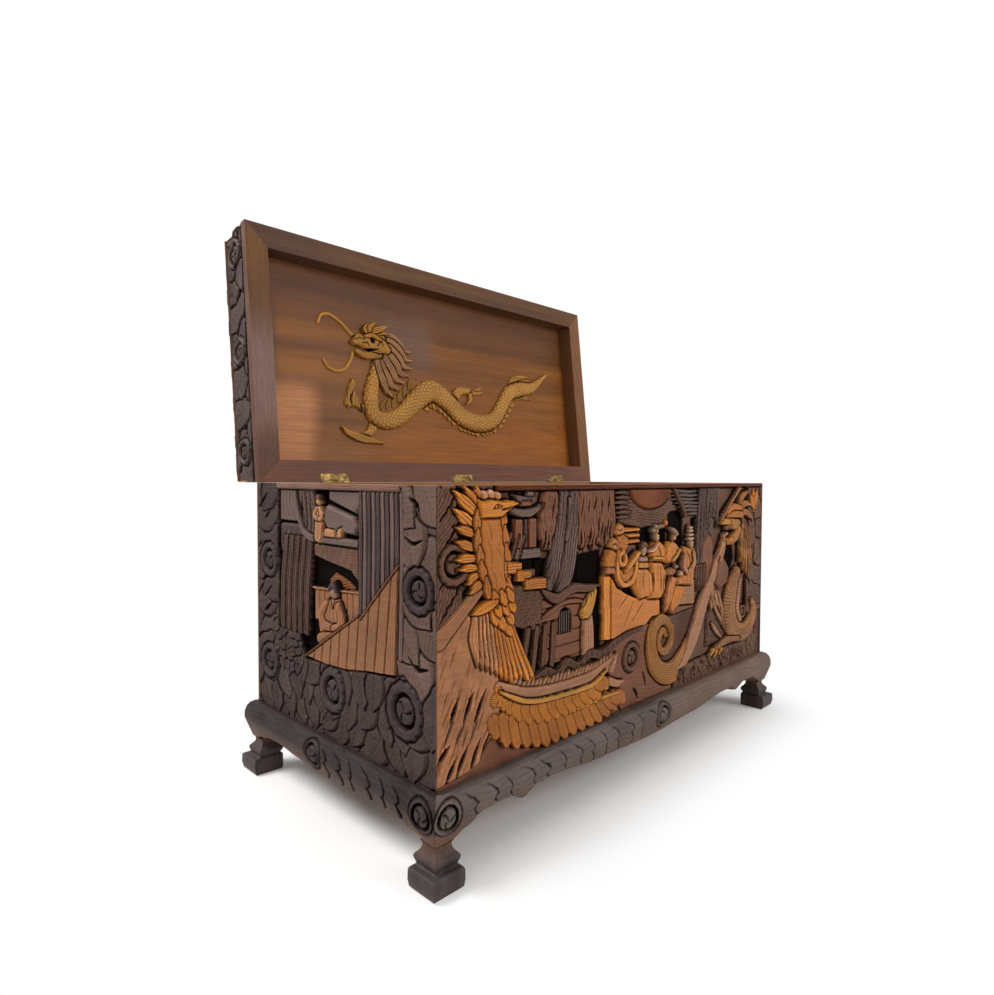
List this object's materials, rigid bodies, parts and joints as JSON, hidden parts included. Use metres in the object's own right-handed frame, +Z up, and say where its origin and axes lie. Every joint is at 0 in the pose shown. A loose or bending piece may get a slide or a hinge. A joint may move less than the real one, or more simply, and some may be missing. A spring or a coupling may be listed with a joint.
{
  "type": "carved chest",
  "caption": "Long wooden chest with carved dragon and phoenix scenes, a bulging footed base and a deep framed lid on brass butt hinges, stored open.",
  "frame": {"origin": "on the floor, under the middle of the chest's bounding box with the lid open", "axes": "+X along the chest to its right end, +Y towards its back, +Z up"},
  "size_m": [1.092, 0.706, 1.0638],
  "materials": {
    "carved_wood": "carved, stained and waxed",
    "dark_wood": "carved, dark stained",
    "gold_wood": "carved, golden varnish",
    "rail_wood": "planed, thin varnish",
    "inner_wood": "planed, thin varnish",
    "brass": "worn"
  },
  "bodies": {
    "chest": {"front_panel": "carved_wood", "back_panel": "carved_wood", "left_end_panel": "dark_wood", "right_end_panel": "dark_wood", "bottom_board_front": "inner_wood", "bottom_board_middle": "inner_wood", "bottom_board_rear": "inner_wood", "front_apron": "dark_wood", "right_apron": "dark_wood", "rear_apron": "dark_wood", "left_apron": "dark_wood", "foot_front_left": "dark_wood", "foot_front_right": "dark_wood", "foot_rear_right": "dark_wood", "foot_rear_left": "dark_wood", "corner_block_front_left": "inner_wood", "corner_block_front_right": "inner_wood", "corner_block_rear_right": "inner_wood", "corner_block_rear_left": "inner_wood", "hinge_box_leaf_left": "brass", "hinge_box_leaf_middle": "brass", "hinge_box_leaf_right": "brass", "hinge_pin_left": "brass", "hinge_pin_middle": "brass", "hinge_pin_right": "brass", "box_screw_left_1": "brass", "box_screw_left_2": "brass", "box_screw_left_3": "brass", "box_screw_middle_1": "brass", "box_screw_middle_2": "brass", "box_screw_middle_3": "brass", "box_screw_right_1": "brass", "box_screw_right_2": "brass", "box_screw_right_3": "brass"},
    "lid": {"lid_front_rail": "rail_wood", "lid_right_rail": "rail_wood", "lid_rear_rail": "rail_wood", "lid_left_rail": "rail_wood", "lid_inner_panel": "inner_wood", "lid_top_board": "dark_wood", "lid_dragon_carving": "gold_wood", "hinge_lid_leaf_left": "brass", "hinge_lid_leaf_middle": "brass", "hinge_lid_leaf_right": "brass", "lid_screw_left_1": "brass", "lid_screw_left_2": "brass", "lid_screw_left_3": "brass", "lid_screw_middle_1": "brass", "lid_screw_middle_2": "brass", "lid_screw_middle_3": "brass", "lid_screw_right_1": "brass", "lid_screw_right_2": "brass", "lid_screw_right_3": "brass"}
  },
  "joints": [
    {"name": "lid_hinge", "type": "hinge", "parent": "chest", "child": "lid", "pos_m": [0, 0.19503, 0.5528], "axis": [1, 0, 0], "range_deg": [0, 96.2]}
  ]
}
